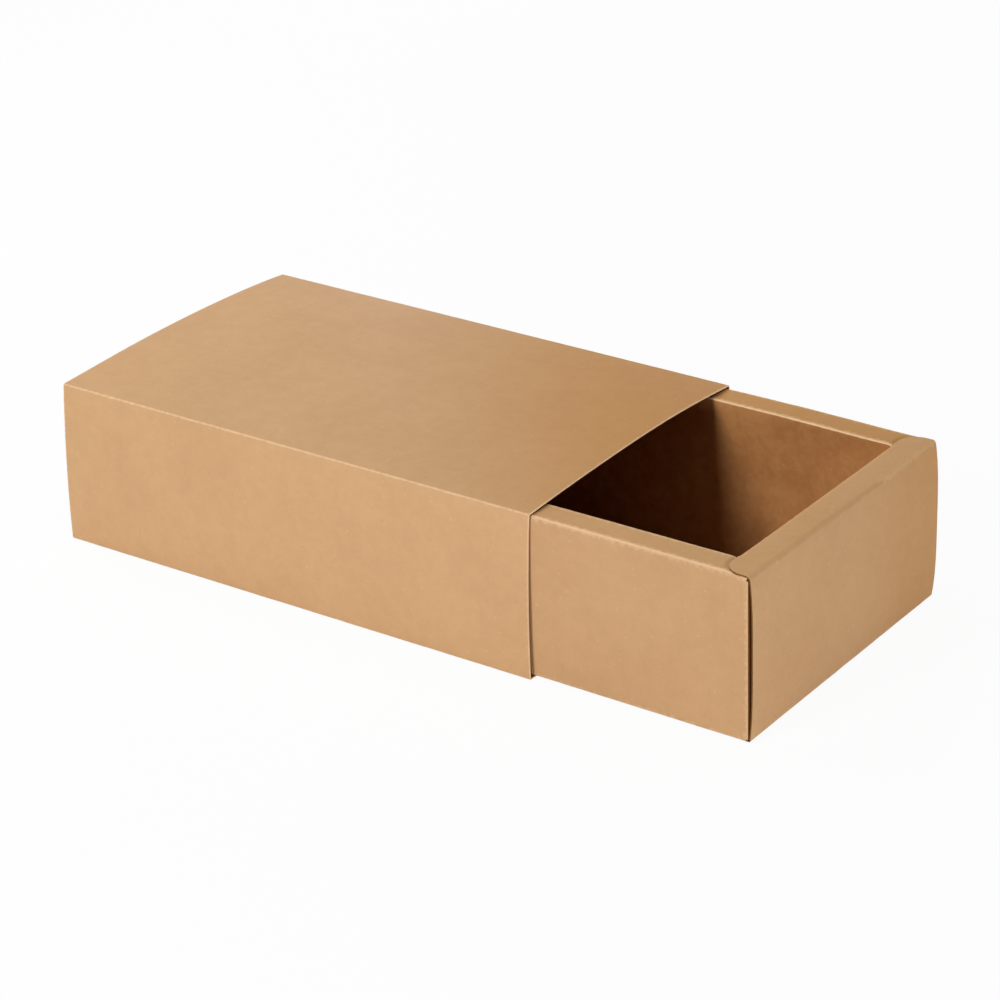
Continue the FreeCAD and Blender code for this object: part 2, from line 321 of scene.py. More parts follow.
class CardPiece:
    """One piece of card with an outside, an inside and cut or creased borders."""

    def __init__(self):
        self.found = {}
        self.corners = []
        self.quads = []

    def corner(self, outside, inside, sheet, fold_radius):
        """The number of the corner at this place. An earlier patch may have made it already."""
        key = tuple(round(value / same_place) for value in (*outside, *inside))
        if key not in self.found:
            self.found[key] = len(self.corners)
            self.corners.append((outside, inside, sheet, fold_radius))
        return self.found[key]

    def patch(self, across, run, place, blank, lift=None, keep=None, trim=None):
        """Adds the quads of two spans. place turns (across, run, out) to a point of the frame."""
        grid = [[self.crossing(across, a, run, r, place, blank, lift, trim) for r in run.steps]
                for a in across.steps]
        mid_across = halfway_places(across)
        mid_run = halfway_places(run)
        for i, (a, a_folds) in enumerate(mid_across):
            for j, (r, r_folds) in enumerate(mid_run):
                if (a_folds and r_folds) or (keep and not keep(a, r)):
                    continue
                self.quads.append((grid[i][j], grid[i + 1][j], grid[i + 1][j + 1], grid[i][j + 1]))

    def crossing(self, across, across_step, run, run_step, place, blank, lift, trim):
        """The corner where a row of one span crosses a row of the other."""
        a, depth_a, lean_a, sheet_a = across.row(across_step, run.row(run_step, 0)[0])
        r, depth_r, lean_r, sheet_r = run.row(run_step, a)
        if trim:
            trimmed_a, trimmed_r = trim(a, r)
            sheet_a, sheet_r = sheet_a + trimmed_a - a, sheet_r + trimmed_r - r
            a, r = trimmed_a, trimmed_r
        out = (lift(a, r) if lift else 0.0) - depth_a - depth_r
        upright = math.sqrt(max(0.0, 1 - lean_a * lean_a - lean_r * lean_r))
        outside = place(a, r, out)
        inside = place(a - card * lean_a, r - card * lean_r, out - card * upright)
        fold_radius = across.fold_radius(across_step, r) or run.fold_radius(run_step, a)
        return self.corner(outside, inside, blank(sheet_a, sheet_r), fold_radius)

    def border(self):
        """The edges that only one quad uses, each in the direction of that quad."""
        used = {}
        for quad in self.quads:
            for a, b in zip(quad, quad[1:] + quad[:1]):
                used.setdefault(frozenset((a, b)), []).append((a, b))
        return [pairs[0] for pairs in used.values() if len(pairs) == 1]

    def finished(self, node, body, materials):
        """Makes the mesh, hides the CAD node that it stands for and lets it ride on its body."""
        used = sorted({corner for quad in self.quads for corner in quad})
        number = {corner: i for i, corner in enumerate(used)}
        count = len(used)
        outside, inside, sheet, radii = zip(*(self.corners[corner] for corner in used))
        quads = [tuple(number[corner] for corner in quad) for quad in self.quads]
        border = [(number[a], number[b]) for a, b in self.border()]
        folded = {(a, b) for a, b in border if radii[a] and radii[b]}
        to_cut = distances(sheet, [edge for edge in border if edge not in folded])
        to_crease = distances(sheet, [(a, b) for a, b in folded if radii[a] < soft_fold])
        faces = quads + [tuple(corner + count for corner in reversed(quad)) for quad in quads]
        faces += [(b, a, a + count, b + count) for a, b in border]
        name = node.replace("_panel", "") + "_card"
        mesh = bpy.data.meshes.new(name)
        mesh.from_pydata([tuple(point) for point in outside + inside], [], faces)
        for material in materials:
            mesh.materials.append(material)
        kinds = [face_material] * 2 * len(quads) + [cut_material] * len(border)
        mesh.polygons.foreach_set("material_index", kinds)
        for fact, first, second in (
            ("sheet_mm", *(np.array(sheet) / mm).T), ("reach_mm", to_crease, to_cut),
        ):
            rows = [np.column_stack((first, second, np.full(count, side))) for side in (0, 1)]
            mesh.attributes.new(fact, "FLOAT_VECTOR", "POINT").data.foreach_set("vector", np.ravel(rows))
        mesh.shade_smooth()
        mark_sharp_edges(mesh, {frozenset((a + s, b + s)) for a, b in border for s in (0, count)})
        piece = bpy.data.objects.new(name, mesh)
        bpy.context.scene.collection.objects.link(piece)
        if outside_is_inverted(mesh):
            mesh.flip_normals()
        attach(piece, body)
        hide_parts(node)
        print(name, 2 * count, "vertices")

# %% [markdown]
# ## Fibres in the card
#
# Kraft card is unbleached pulp. Seen closely it is full of short fibres, most of them a little lighter or
# darker than the sheet, and lying every way. A cellular texture gives each cell a random colour. That
# colour can turn the cell's own coordinates by a random angle and bend them, and a thin stretched dash
# drawn in those coordinates is one fibre. The dash is the same in every material, so it is a node group.

# %% Node helpers
def add_node(tree, kind, inputs=None, **settings):
    """A node with its settings, and with each input either linked to a socket or set to a value."""
    made = tree.nodes.new(kind)
    for name, value in settings.items():
        setattr(made, name, value)
    for name, value in (inputs or {}).items():
        if isinstance(value, bpy.types.NodeSocket):
            tree.links.new(value, made.inputs[name])
        else:
            made.inputs[name].default_value = value
    return made


def maths(tree, operation, first, second=0.0, clamp=False):
    made = add_node(tree, "ShaderNodeMath", {0: first, 1: second}, operation=operation, use_clamp=clamp)
    return made.outputs[0]


def times(tree, first, second):
    return maths(tree, "MULTIPLY", first, second)


def weighted(tree, *parts):
    """Adds up values, each with its own weight."""
    total, *others = [times(tree, value, weight) for value, weight in parts]
    for part in others:
        total = maths(tree, "ADD", total, part)
    return total


def vector_maths(tree, operation, first, second):
    name = "Scale" if operation == "SCALE" else 1
    return add_node(tree, "ShaderNodeVectorMath", {0: first, name: second}, operation=operation).outputs[0]


def axes(tree, vector):
    """The outputs X, Y and Z of a vector."""
    return add_node(tree, "ShaderNodeSeparateXYZ", {0: vector}).outputs


def cloudy_noise(tree, place, scale, detail, **settings):
    inputs = {"Vector": place, "Scale": scale, "Detail": detail}
    return add_node(tree, "ShaderNodeTexNoise", inputs, **settings).outputs["Fac"]


def remap(tree, value, low_in, high_in, low_out=0.0, high_out=1.0):
    """Turns the range low_in to high_in into low_out to high_out, smoothly and without overshoot."""
    made = add_node(
        tree, "ShaderNodeMapRange",
        {"Value": value, "From Min": low_in, "From Max": high_in, "To Min": low_out, "To Max": high_out},
        interpolation_type="SMOOTHSTEP",
    )
    return made.outputs["Result"]


def clear(tree, cloud):
    """Spreads the middle of a cloudy noise, where nearly all of it lies, over the range 0 to 1."""
    return remap(tree, cloud, 0.3, 0.7)


def mixed(tree, amount, first, second, blend="MIX", clamp=True):
    """Mixes two colours. Sockets 6 and 7 of a mix node are its colours, and output 2 is the mixture."""
    made = add_node(
        tree, "ShaderNodeMix", {0: amount, 6: first, 7: second},
        data_type="RGBA", blend_type=blend, clamp_factor=clamp,
    )
    return made.outputs[2]


def new_group(name, inputs, outputs):
    """A shader node group. inputs are (name, type, default), and outputs are (name, type)."""
    group = bpy.data.node_groups.new(name, "ShaderNodeTree")
    for socket_name, kind, default in inputs:
        socket = group.interface.new_socket(socket_name, in_out="INPUT", socket_type=kind)
        if default is not None:
            socket.default_value = default
    for socket_name, kind in outputs:
        group.interface.new_socket(socket_name, in_out="OUTPUT", socket_type=kind)
    return group, group.nodes.new("NodeGroupInput"), group.nodes.new("NodeGroupOutput")


def use_group(tree, group, inputs):
    return add_node(tree, "ShaderNodeGroup", inputs, node_tree=group).outputs


VALUE, VECTOR, COLOUR = "NodeSocketFloat", "NodeSocketVector", "NodeSocketColor"


# %% Group: scattered fibres
strongest_bend = 0.9
cell_randomness = 0.9
shortest_half, longest_half = 0.25, 0.5
full_along, full_sideways = 0.5, 0.2
lot_spread = 17.31


def scattered_fibres():
    """A mask of short bent dashes. Sizes are in mm, and share is how many cells hold a fibre."""
    tree, given, result = new_group(
        "scattered_fibres",
        [("Sheet", VECTOR, None), ("Cell", VALUE, 2.0), ("Length", VALUE, 1.5), ("Width", VALUE, 0.1),
         ("Share", VALUE, 0.5), ("Seed", VALUE, 0.0)],
        [("Mask", VALUE)],
    )
    put = given.outputs
    shift = add_node(tree, "ShaderNodeCombineXYZ", {"X": put["Seed"], "Y": put["Seed"]}).outputs[0]
    scaled = vector_maths(tree, "SCALE", put["Sheet"], maths(tree, "DIVIDE", 1.0, put["Cell"]))
    moved = vector_maths(tree, "ADD", scaled, shift)
    cells = add_node(
        tree, "ShaderNodeTexVoronoi", {"Vector": moved, "Scale": 1.0, "Randomness": cell_randomness},
        voronoi_dimensions="2D",
    )
    chance = add_node(tree, "ShaderNodeSeparateColor", {"Color": cells.outputs["Color"]}).outputs
    offset = vector_maths(tree, "SUBTRACT", moved, cells.outputs["Position"])
    in_mm = vector_maths(tree, "SCALE", offset, put["Cell"])
    turned = add_node(
        tree, "ShaderNodeVectorRotate", {"Vector": in_mm, "Angle": times(tree, chance["Red"], math.tau)},
        rotation_type="Z_AXIS",
    ).outputs[0]
    apart = axes(tree, turned)
    bend = times(tree, maths(tree, "SUBTRACT", chance["Green"], 0.5), strongest_bend)
    bent = maths(tree, "ADD", apart["Y"], times(tree, bend, maths(tree, "POWER", apart["X"], 2.0)))
    half_share = remap(tree, chance["Blue"], 0, 1, shortest_half, longest_half)
    half_length = times(tree, put["Length"], half_share)
    along = maths(tree, "DIVIDE", maths(tree, "ABSOLUTE", apart["X"]), half_length)
    sideways = maths(tree, "DIVIDE", maths(tree, "ABSOLUTE", bent), times(tree, put["Width"], 0.5))
    fades = remap(tree, along, full_along, 1, 1, 0), remap(tree, sideways, full_sideways, 1, 1, 0)
    dash = times(tree, *fades)
    lot = maths(tree, "FRACT", times(tree, chance["Blue"], lot_spread))
    present = maths(tree, "LESS_THAN", lot, put["Share"])
    tree.links.new(times(tree, dash, present), result.inputs["Mask"])
    return tree


fibres_group = scattered_fibres()
print("group", fibres_group.name, "has", len(fibres_group.nodes), "nodes")

# %% [markdown]
# ## The kraft surface
#
# Under the fibres the sheet is cloudy: pulp settles unevenly, so patches from a few millimetres to a few
# centimetres are slightly lighter or darker. The felt of the paper machine leaves a fine grain, which shows
# more in the roughness and the bump than in the colour. This group adds all of it to one base colour, and
# puts out a colour, a roughness and a height. `Deepening` turns the brown deeper where a material asks for
# it; on the sleeve and on the far side rim that deeper brown is painted shade. A `Cloudiness` above 1 makes
# the clouds stronger, as inside the tray.

# %% Values of the kraft surface
back_offset = 173.0
# Multiplied in by Deepening; on the sleeve and the far side rim it is painted shade.
deeper_and_painted_shade_tint = (0.90, 0.76, 0.50, 1)
darker_tint = (0.93, 0.905, 0.88, 1)
smoothest, added_roughness = 0.74, 0.2

# Sizes of the clouds, in mm.
wide_size, patchy_size, mottled_size, grain_size = 34, 6, 2.2, 1 / 2.6

# For each sort of fibre: cell, length and width in mm, the share of cells that hold one, and a seed.
dark_sorts = (3.1, 2.2, 0.18, 0.55, 3.0), (1.7, 1.3, 0.11, 0.5, 11.0)
light_sorts = (3.6, 2.2, 0.24, 0.5, 23.0), (1.5, 1.2, 0.12, 0.55, 31.0)
dark_speck, pale_speck = (6.5, 1.1, 0.6, 0.35, 41.0), (8.0, 1.2, 0.65, 0.4, 53.0)

# For each kind of mark, in the same order: how strongly it shows, and its colour.
mark_looks = (
    (0.13, (0.27, 0.14, 0.06, 1)), (0.11, (0.86, 0.66, 0.44, 1)),
    (0.24, (0.24, 0.12, 0.05, 1)), (0.2, (0.88, 0.68, 0.46, 1)),
)
print("clouds of", wide_size, patchy_size, mottled_size, "mm, grain of", round(grain_size, 2), "mm")


# %% Group: kraft surface
def kraft_surface():
    """Clouds, fibres and grain. Lengths are in mm, and the back of the sheet reads another place."""
    tree, given, result = new_group(
        "kraft_surface",
        [("Sheet", VECTOR, None), ("Kraft", COLOUR, (0.6, 0.35, 0.16, 1)), ("Deepening", VALUE, 0.0),
         ("Cloudiness", VALUE, 1.0), ("Fibres", VALUE, 1.0)],
        [("Color", COLOUR), ("Roughness", VALUE), ("Height", VALUE)],
    )
    put = given.outputs
    side = axes(tree, put["Sheet"])["Z"]
    other_side = add_node(
        tree, "ShaderNodeCombineXYZ", {"X": times(tree, side, back_offset), "Z": times(tree, side, -1.0)}
    ).outputs[0]
    sheet = vector_maths(tree, "ADD", put["Sheet"], other_side)

    def cloud(size, detail=2.0):
        return cloudy_noise(tree, sheet, 1 / size, detail, noise_dimensions="2D")

    def fibres(*sizes):
        names = ("Cell", "Length", "Width", "Share", "Seed")
        return use_group(tree, fibres_group, {"Sheet": sheet, **dict(zip(names, sizes))})["Mask"]

    def either(sorts):
        return maths(tree, "MAXIMUM", *(fibres(*sizes) for sizes in sorts))

    wide = clear(tree, cloud(wide_size))
    patchy = remap(tree, cloud(patchy_size, 3.0), 0.25, 0.75)
    grain = cloud(grain_size, 4.0)
    mottled = clear(tree, cloud(mottled_size))
    kraft = mixed(tree, put["Deepening"], put["Kraft"], deeper_and_painted_shade_tint, "MULTIPLY")
    darker = mixed(tree, 1.0, kraft, darker_tint, "MULTIPLY")
    cloudy = weighted(tree, (wide, 0.42), (patchy, 0.4), (mottled, 0.2), (grain, 0.15))
    colour = mixed(tree, times(tree, cloudy, put["Cloudiness"]), kraft, darker, clamp=False)

    dark_fibres, light_fibres = either(dark_sorts), either(light_sorts)
    specks, pale_specks = fibres(*dark_speck), fibres(*pale_speck)
    marks = dark_fibres, light_fibres, specks, pale_specks
    for mask, (strength, shade) in zip(marks, mark_looks):
        colour = mixed(tree, times(tree, times(tree, mask, strength), put["Fibres"]), colour, shade)

    rough = maths(tree, "ADD", smoothest, times(tree, grain, added_roughness))
    height = weighted(tree, (grain, 0.5), (patchy, 0.35), (light_fibres, 0.35))
    height = maths(tree, "SUBTRACT", height, times(tree, specks, 0.25))
    tree.links.new(colour, result.inputs["Color"])
    tree.links.new(rough, result.inputs["Roughness"])
    tree.links.new(height, result.inputs["Height"])
    return tree


kraft_group = kraft_surface()
print("group", kraft_group.name, "has", len(kraft_group.nodes), "nodes")

# %% [markdown]
# ## Creases and cut edges
#
# Where the card is folded, its skin is stretched and some fibres break, so a fold is a little lighter than
# the sheet, more in some places than in others. A cut edge is lighter too, and a trace rougher, as the knife
# frays it. The builder above stored the distance to both, in mm, with every vertex, so the wear can follow
# them on any piece. On the rims and the lining the pale fold lines are made much stronger, and there they are
# partly wear and partly painted highlight; on the end rims they also fill in the shade along the fold as
# painted light.

# %% Group: crease and edge wear
patch_scale, fray_scale = 0.55, 3.2
least_ragged, most_ragged = 0.15, 1.2
fray_share = 0.5


def crease_wear_and_highlight():
    tree, given, result = new_group(
        "crease_wear_and_highlight",
        [("Sheet", VECTOR, None), ("Reach", VECTOR, None), ("Crease Width", VALUE, 1.0),
         ("Edge Width", VALUE, 0.4), ("Raggedness", VALUE, 1.0)],
        [("Wear", VALUE)],
    )
    put = given.outputs
    reach = axes(tree, put["Reach"])
    patchy = cloudy_noise(tree, put["Sheet"], patch_scale, 4.0)
    frayed = cloudy_noise(tree, put["Sheet"], fray_scale, 3.0)
    patches = remap(tree, patchy, 0.35, 0.65, least_ragged, most_ragged)
    ragged = maths(tree, "ADD", patches, times(tree, frayed, fray_share))
    ragged = times(tree, put["Raggedness"], maths(tree, "SUBTRACT", ragged, 1.0))
    ragged = maths(tree, "ADD", 1.0, ragged)

    def worn_within(distance, width):
        return maths(
            tree, "SUBTRACT", 1.0, maths(tree, "DIVIDE", distance, times(tree, width, ragged)), clamp=True
        )

    on_crease = worn_within(reach["X"], put["Crease Width"])
    on_edge = worn_within(reach["Y"], put["Edge Width"])
    tree.links.new(maths(tree, "MAXIMUM", on_crease, on_edge), result.inputs["Wear"])
    return tree


wear_and_highlight_group = crease_wear_and_highlight()
print("group", wear_and_highlight_group.name, "has", len(wear_and_highlight_group.nodes), "nodes")

# %% [markdown]
# ## From the groups to a material
#
# Each material has one Principled shader, and the groups feed it: the kraft surface gives a colour, a
# roughness and a height for the bump, and the wear mixes in a paler colour along folds and borders. The
# cut through the card has a material of its own, because the layers of pulp show there as fine lines.

# %% Helpers of the materials
half_soft_line = 1


def new_material(name):
    material = bpy.data.materials.new(name)
    material.use_nodes = True
    tree = material.node_tree
    return material, tree, tree.nodes["Principled BSDF"]


def stored(tree, name):
    """A fact that the card builder stored with the vertices."""
    return add_node(tree, "ShaderNodeAttribute", attribute_name=name).outputs["Vector"]


def dress(tree, surface, colour, roughness, height, relief):
    """Links a colour, a roughness and a bump to a Principled shader."""
    tree.links.new(colour, surface.inputs["Base Color"])
    tree.links.new(roughness, surface.inputs["Roughness"])
    bump = add_node(tree, "ShaderNodeBump", {"Height": height, "Distance": relief, "Strength": 1.0})
    tree.links.new(bump.outputs["Normal"], surface.inputs["Normal"])


def deeper_from(tree, on_sheet, line, across, run, start, end, depth):
    """How much deeper the brown is: it grows from start to end, in mm, in the direction (across, run) of
    the sheet, up to depth, and only on the side of the line where the sheet's first direction is larger.
    """
    way = weighted(tree, (on_sheet["X"], across), (on_sheet["Y"], run))
    past_line = remap(tree, on_sheet["X"], line - half_soft_line, line + half_soft_line)
    return times(tree, remap(tree, way, start, end, 0.0, depth), past_line)


# %% Faces and cut edges of the card
# The back of the card is a darker brown. Being so dark, it also paints the shade inside the sleeve and on the
# tray's floor.
back_and_inner_shade_colour = (0.34, 0.19, 0.09, 1)
fibre_strength = 0.8
worn_roughness = 0.06
face_shine, cut_shine = 0.3, 0.2
face_relief, cut_relief = 0.02 * mm, 0.03 * mm
layer_stretch = (0.7, 0.7, 9.0)
cut_fray_scale = 5.0
smoothest_cut, roughest_cut = 0.82, 0.98


def kraft_face(name, kraft, worn, crease_width, edge_width, wear_and_highlight_share, raggedness=1.0, cloudiness=1.0,
               deepening=None):
    """The two faces of the card, with folds and borders. The widths of the worn lines are in mm."""
    material, tree, surface = new_material(name)
    sheet, reach = stored(tree, "sheet_mm"), stored(tree, "reach_mm")
    on_sheet = axes(tree, sheet)
    paper = use_group(tree, kraft_group, {
        "Sheet": sheet, "Kraft": mixed(tree, on_sheet["Z"], kraft, back_and_inner_shade_colour),
        "Deepening": deeper_from(tree, on_sheet, **deepening) if deepening else 0.0,
        "Cloudiness": cloudiness, "Fibres": fibre_strength,
    })
    wear = use_group(tree, wear_and_highlight_group, {
        "Sheet": sheet, "Reach": reach, "Crease Width": crease_width, "Edge Width": edge_width,
        "Raggedness": raggedness,
    })["Wear"]
    colour = mixed(tree, times(tree, wear, wear_and_highlight_share), paper["Color"], worn)
    rough = maths(tree, "ADD", paper["Roughness"], times(tree, wear, worn_roughness), clamp=True)
    dress(tree, surface, colour, rough, paper["Height"], face_relief)
    surface.inputs["Specular IOR Level"].default_value = face_shine
    return material


def kraft_edge(name, core, gap):
    """The cut through the card: layers of pulp, seen as fine lines along the edge."""
    material, tree, surface = new_material(name)
    sheet = stored(tree, "sheet_mm")
    layered = add_node(tree, "ShaderNodeMapping", {"Vector": sheet, "Scale": layer_stretch}).outputs[0]
    layers = cloudy_noise(tree, layered, 1.0, 4.0)
    frayed = cloudy_noise(tree, sheet, cut_fray_scale, 3.0)
    shade = weighted(tree, (layers, 0.7), (frayed, 0.3))
    colour = mixed(tree, clear(tree, shade), gap, core)
    rough = remap(tree, frayed, 0.2, 0.8, smoothest_cut, roughest_cut)
    dress(tree, surface, colour, rough, shade, cut_relief)
    surface.inputs["Specular IOR Level"].default_value = cut_shine
    return material

# %% [markdown]
# ## Browns of the box
#
# Both sheets are the same pulp, and each kind of piece has its own material from the same recipe, with
# slightly different numbers. Some of them paint light and shade into the colour: the sleeve is painted deeper
# toward one corner of its mouth, and the far side rim deeper too, as painted shade; the end rims are painted
# lighter than the walls as painted light; the pale lines along the folds of the rims and the lining are
# partly wear and partly painted highlight; the lining is painted a deeper brown as painted shade inside the
# tray, and keeps more mottled clouds; the tray's cut edges and the corner flaps are painted nearly black as
# the painted shade of seams and slits; and the darker back of the card also paints the shade inside the box.

# %% Card of the sleeve and the tray
worn_colour = (0.82, 0.59, 0.38, 1)
# The tray's cut edges are painted nearly black, as painted shade in the seams at the ears and the slits at
# the corners.
tray_edge_painted_shade = kraft_edge("kraft_tray_cut_edge", (0.21, 0.095, 0.022, 1), (0.11, 0.045, 0.010, 1))
# The sleeve's brown is painted deeper toward one corner of its mouth, on the top and the right panel: painted
# shade where less light falls.
sleeve_materials = [
    kraft_face("kraft_sleeve_face_painted_shade", (0.595, 0.358, 0.178, 1), worn_colour, 0.5, 0.45, 0.5,
               deepening=dict(line=60, across=0.833, run=1.0, start=192, end=312, depth=1.0)),
    kraft_edge("kraft_sleeve_cut_edge", (1.0, 0.74, 0.48, 1), (0.84, 0.56, 0.32, 1)),
]
tray_materials = [
    kraft_face("kraft_tray_face", (0.559, 0.331, 0.163, 1), worn_colour, 1.3, 0.15, 0.4,
               deepening=dict(line=0, across=1.0, run=0.0, start=0, end=58, depth=0.5)),
    tray_edge_painted_shade,
]
# The far side rim is painted deeper as painted shade, like the back of the sleeve's top. Its strong pale fold
# lines are partly wear and partly painted highlight.
rim_materials = [
    kraft_face("kraft_rim_face", (0.600, 0.345, 0.146, 1), (0.98, 0.69, 0.43, 1), 1.6, 0.12, 0.55,
               raggedness=0.7, deepening=dict(line=90, across=1.0, run=0.0, start=90, end=100, depth=0.7)),
    tray_edge_painted_shade,
]
# The end rims are painted a lighter brown than the walls as painted light, so that rim and wall look equally
# bright under these lamps. Their pale fold lines are partly wear and partly painted light that fills the
# shade along the fold.
end_rim_materials = [
    kraft_face("kraft_end_rim_face", (0.605, 0.347, 0.154, 1), (0.92, 0.53, 0.235, 1), 1.3, 0.12, 0.3,
               raggedness=0.6),
    tray_edge_painted_shade,
]
# The lining is painted a deeper brown as painted shade inside the tray, and its inner folds are painted pale
# as painted highlights. The stronger clouds are the card's own mottle.
lining_materials = [
    kraft_face("kraft_lining_face", (0.556, 0.262, 0.090, 1), (1.0, 0.74, 0.46, 1), 0.5, 0.15, 1.0,
               raggedness=0.3, cloudiness=3.4),
    tray_edge_painted_shade,
]
# The flaps' card is painted nearly black, as painted shade in the dark slit at each corner of the tray.
flap_painted_shade_materials = [
    kraft_face("kraft_flap_face", (0.24, 0.095, 0.022, 1), worn_colour, 0.5, 0.15, 0.0), tray_edge_painted_shade,
]
print("card materials:", [made.name for made in bpy.data.materials if made.name.startswith("kraft")])

# %% [markdown]
# ## How a panel swells
#
# Card holds a memory of being flat, so a panel between two creases bows outwards, and it is never quite
# even. `swelling` gives the distance a point stands out of the panel's plane. It is nothing at a crease,
# where the neighbour holds the panel, and free at a cut edge.

# %% Swelling of a panel
ripple_wave = 55 * mm
ripple_seed_step = 5.1
settle_distance = 14 * mm


def eased(share):
    share = min(1.0, max(0.0, share))
    return share * share * (3 - 2 * share)


def diagonal_places(span, at):
    """Where the span's first and last rows lie, at this place of the other span."""
    return span.row(span.steps[0], at)[0], span.row(span.steps[-1], at)[0]


def swelling(across, run, bow=0.0, lean=0.0, ripple=0.0, seed=0.0, squareness=2.0):
    """A bow between the creases of across, with ripples on it.

    The bow is a height, or a function of the place along the creases. It is an arc when its squareness is
    2, and flatter with fuller shoulders above that. Its highest place can lean to one side.
    """

    def lift(a, r):
        first, last = diagonal_places(across, r)
        share = min(1.0, max(0.0, (a - first) / (last - first)))
        height = bow(r) if callable(bow) else bow
        height *= (1 - abs(2 * share - 1) ** squareness) * (1 + lean * (2 * share - 1))
        calm = 1.0
        for creased, distance in (
            (across.start_crease, a - across.start), (across.end_crease, across.end - a),
            (run.start_crease, r - run.start), (run.end_crease, run.end - r),
        ):
            if creased:
                calm *= eased(distance / settle_distance)
        wave = noise.noise(Vector((a / ripple_wave, r / ripple_wave, seed * ripple_seed_step)))
        return height + ripple * calm * wave

    return lift


arch = swelling(Span(0, 2), Span(0, 1), bow=1.0)
print("share of a bow along its panel:", [arch(place / 2, 0) for place in range(5)])

# %% [markdown]
# ## The sleeve
#
# Going round the tube: left panel, top, right panel, then the bottom, which starts at the left panel's
# foot and ends in a narrow flap. The flap stands up inside the right panel and is glued to it. The top is
# the widest panel and arches most.
#
# A glued tube is hardly ever square. The tray fills this one at the mouth, and toward its empty far end
# it opens out along two folds, one high on the right and one low on the left. `flared` moves every point
# of the sleeve by its share of that, so the panels still meet at their folds.

# %% Shape of the sleeve
sleeve_fold = 0.65 * mm
sleeve_bottom_left, sleeve_top_left, sleeve_top_right, sleeve_bottom_right = (
    crease(seed, sleeve_fold) for seed in (1, 2, 3, 4)
)
sleeve_run = Span(-sleeve_end, sleeve_end)
flare = 2.0 * mm
mouth_gap = 0.6 * mm
slant = 1.2 * mm


def flared(point):
    """Opens the sleeve out toward its far end, and slants its ends back at the lower left fold."""
    back_share = (sleeve_end - point.x) / (2 * sleeve_end)
    right_share = (point.y + sleeve_side) / (2 * sleeve_side)
    height_share = point.z / sleeve_top
    upper_right = flare * back_share * right_share * height_share
    lower_left_share = (1 - right_share) * (1 - height_share)
    lower_left = (mouth_gap + (flare - mouth_gap) * back_share) * lower_left_share
    return point + Vector((-slant * lower_left_share, upper_right - lower_left, 0))


far_corner = flared(Vector((-sleeve_end, sleeve_side, sleeve_top))).y - sleeve_side
print("the far upper right corner stands out by", round(far_corner / mm, 2), "mm")


def sleeve_piece(node, across, place, blank_start, towards, lift=None):
    """One panel of the sleeve. towards is 1 or -1: which way the panel runs on the flat blank."""
    piece = CardPiece()
    piece.patch(across, sleeve_run, lambda a, r, out: flared(place(a, r, out)),
                lambda a, r: (blank_start + towards * a, r), lift)
    piece.finished(node, "sleeve", sleeve_materials)


# %% Panels of the sleeve
left_span = Span(0, sleeve_top, sleeve_bottom_left, sleeve_top_left)
top_span = Span(-sleeve_side, sleeve_side, sleeve_top_left, sleeve_top_right)
right_span = Span(0, sleeve_top - right_panel_foot, sleeve_top_right)
bottom_span = Span(-sleeve_side, flap_side, sleeve_bottom_left, sleeve_bottom_right)
flap_span = Span(0, flap_top, sleeve_bottom_right)
side_blank, top_blank = left_span.developed(), top_span.developed()
room_for_ripples = 0.93

sleeve_piece(
    "sleeve_left_panel", left_span,
    lambda a, r, out: Vector((r, -sleeve_side - out, a)), 0, 1,
    swelling(left_span, sleeve_run, bow=room_for_ripples * sleeve_side_bow, ripple=0.15 * mm, seed=1),
)
sleeve_piece(
    "sleeve_top_panel", top_span,
    lambda a, r, out: Vector((r, a, sleeve_top + out)), side_blank, 1,
    swelling(top_span, sleeve_run, bow=room_for_ripples * sleeve_top_bow, lean=0.3, ripple=0.25 * mm, seed=2),
)
right_swelling = swelling(left_span, sleeve_run, bow=sleeve_side_bow)
sleeve_piece(
    "sleeve_right_panel", right_span,
    lambda a, r, out: Vector((r, sleeve_side + out, sleeve_top - a)), side_blank + top_blank, 1,
    lambda a, r: right_swelling(sleeve_top - a, r),
)
sleeve_piece(
    "sleeve_bottom_panel", bottom_span,
    lambda a, r, out: Vector((r, a, -out)), 0, -1,
)
sleeve_piece(
    "sleeve_glue_flap", flap_span,
    lambda a, r, out: Vector((r, flap_side + out, a)), -bottom_span.developed(), -1,
    right_swelling,
)

# %% [markdown]
# ## The tray's sides
#
# Each side is a hollow double wall. The card goes up outside, across the rim, down inside and out again
# along the floor as a foot, which keeps the two walls apart. At both ends the outer wall turns the corner
# into a flap, so its upright ends are creases too.
#
# The ears of the end rims hold a side down at its two ends. Between them it springs up and outwards a
# little, which `settled` does to the upper part of all its panels, with close rows where the step falls.

# %% Creases of the tray
left, right = -1, 1
back, front = -1, 1
soft_near, soft_far = 1.7 * mm, 1.15 * mm


def crest_radius(y):
    """The front edge was pressed over softly at the left end and sharply at the right end."""
    share = (y + end_half_width) / (2 * end_half_width)
    return soft_near + (soft_far - soft_near) * eased(share)


side_folds = {"foot": 1.0 * mm, "crest": 0.9 * mm, "inner crest": 0.6 * mm, "lining foot": 1.0 * mm}
tray_creases = {
    (side, place): crease(seed + (10 if side == left else 20), radius)
    for side in (left, right)
    for seed, (place, radius) in enumerate(side_folds.items())
}
corner_fold = 0.65 * mm
corner_creases = {
    (end, side): crease(30 + 2 * end + side, corner_fold) for end in (back, front) for side in (left, right)
}
end_foot_creases = {end: crease(40 + end) for end in (back, front)}
end_crest_creases = {front: crease(50, crest_radius), back: crease(51)}


def plain_fold(run):
    return fold


print("creases of the tray:", len(tray_creases) + len(corner_creases) + 2 * len(end_crest_creases))

